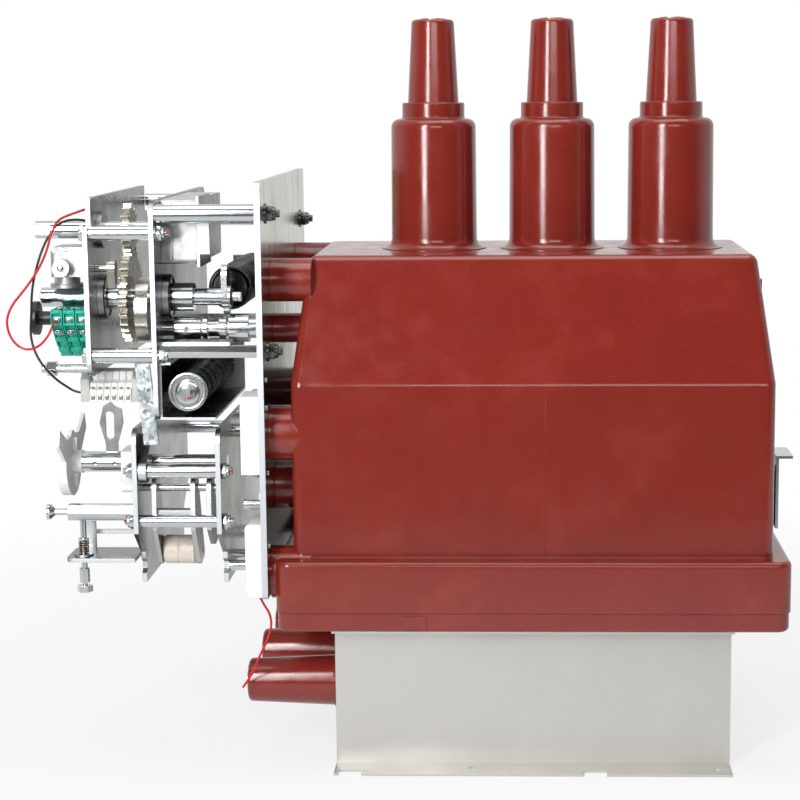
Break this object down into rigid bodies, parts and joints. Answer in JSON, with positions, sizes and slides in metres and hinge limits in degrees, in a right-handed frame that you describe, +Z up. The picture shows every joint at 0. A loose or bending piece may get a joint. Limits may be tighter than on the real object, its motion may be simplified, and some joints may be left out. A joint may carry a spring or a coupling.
{
  "type": "solid-insulated vacuum circuit breaker",
  "caption": "Vacuum circuit breaker in a cast epoxy housing with top and cable bushings, an open spring mechanism and a folded steel stand.",
  "frame": {"origin": "on the floor, at the middle of the rigid parts in X and Y", "axes": "+X from the mechanism to the latch end, +Y away from the near side, +Z up"},
  "size_m": [0.7884, 0.38, 0.7615],
  "materials": {
    "epoxy": "cast epoxy, glossy red-brown",
    "contact_metal": "turned copper alloy",
    "stainless_sheet": "satin sheet",
    "passivated_sheet": "zinc plated, iridescent passivation",
    "zinc_sheet": "zinc plated sheet",
    "zinc_turned": "bright zinc plated, turned",
    "oiled_steel": "machined steel, lightly oiled",
    "black_steel": "black coated spring steel",
    "cast_aluminium": "as-cast aluminium",
    "green_plastic": "moulded teal plastic",
    "black_plastic": "moulded black plastic",
    "white_plastic": "moulded white plastic",
    "red_wire": "red insulated wire"
  },
  "bodies": {
    "frame": {"aux_switch": "green_plastic", "base_cover": "epoxy", "bearing_block": "white_plastic", "bearing_rings": "oiled_steel", "black_wire": "black_plastic", "cable_box": "white_plastic", "cable_bushings": "epoxy", "cam": "oiled_steel", "contacts": "contact_metal", "crank": "zinc_turned", "drive_shaft": "zinc_turned", "foam_box": "white_plastic", "gear_block": "cast_aluminium", "hex_bar": "zinc_turned", "housing": "epoxy", "latch_body": "black_plastic", "latch_plate": "zinc_sheet", "levers": "zinc_sheet", "long_bolt": "zinc_turned", "lower_rods": "zinc_turned", "lower_spring": "black_steel", "lower_standoffs": "zinc_turned", "lower_wire": "red_wire", "main_shaft": "oiled_steel", "motor_bracket": "zinc_sheet", "motor_gearbox": "cast_aluminium", "mounting_plate": "passivated_sheet", "pawl": "oiled_steel", "pin_bracket": "zinc_sheet", "pin_spring": "oiled_steel", "plate_a": "zinc_sheet", "plate_b": "zinc_sheet", "plate_c": "zinc_sheet", "plate_d": "zinc_sheet", "red_wire": "red_wire", "rod_lever": "zinc_sheet", "roller": "white_plastic", "shelf": "zinc_sheet", "slant_bar": "zinc_sheet", "spring_anchor": "zinc_sheet", "spring_bracket": "zinc_sheet", "spring_disc": "zinc_sheet", "stand_far": "stainless_sheet", "stand_near": "stainless_sheet", "standoffs": "zinc_turned", "switch_dial": "black_plastic", "terminal_strip": "white_plastic", "tie_rods": "zinc_turned", "top_bushing_1": "epoxy", "top_bushing_2": "epoxy", "top_bushing_3": "epoxy", "upper_spring": "black_steel"},
    "gear": {"gear_wheel": "oiled_steel"},
    "charger": {"charging_shaft": "zinc_turned", "pinion": "oiled_steel"},
    "selector": {"selector_shaft": "zinc_turned", "notched_disc": "white_plastic", "hasp": "zinc_turned"},
    "interlock": {"interlock_pin": "zinc_turned"}
  },
  "joints": [
    {"name": "gear_turn", "type": "hinge", "parent": "frame", "child": "gear", "pos_m": [-0.2895, -0.1, 0.48], "axis": [1, 0, 0], "continuous": true},
    {"name": "charger_turn", "type": "hinge", "parent": "frame", "child": "charger", "pos_m": [-0.2895, -0.1, 0.549], "axis": [1, 0, 0], "continuous": true},
    {"name": "selector_turn", "type": "hinge", "parent": "frame", "child": "selector", "pos_m": [-0.3095, -0.1, 0.309], "axis": [1, 0, 0], "range_deg": [-60, 60]},
    {"name": "interlock_press", "type": "slide", "parent": "frame", "child": "interlock", "axis": [0, 0, -1], "range_m": [0, 0.008], "stiffness_N_per_m": 400, "springref_m": -0.005, "deforming": ["pin_spring"]}
  ],
  "couplings": [
    {"joint": "charger_turn", "follows": "gear_turn", "ratio": -1.875}
  ]
}
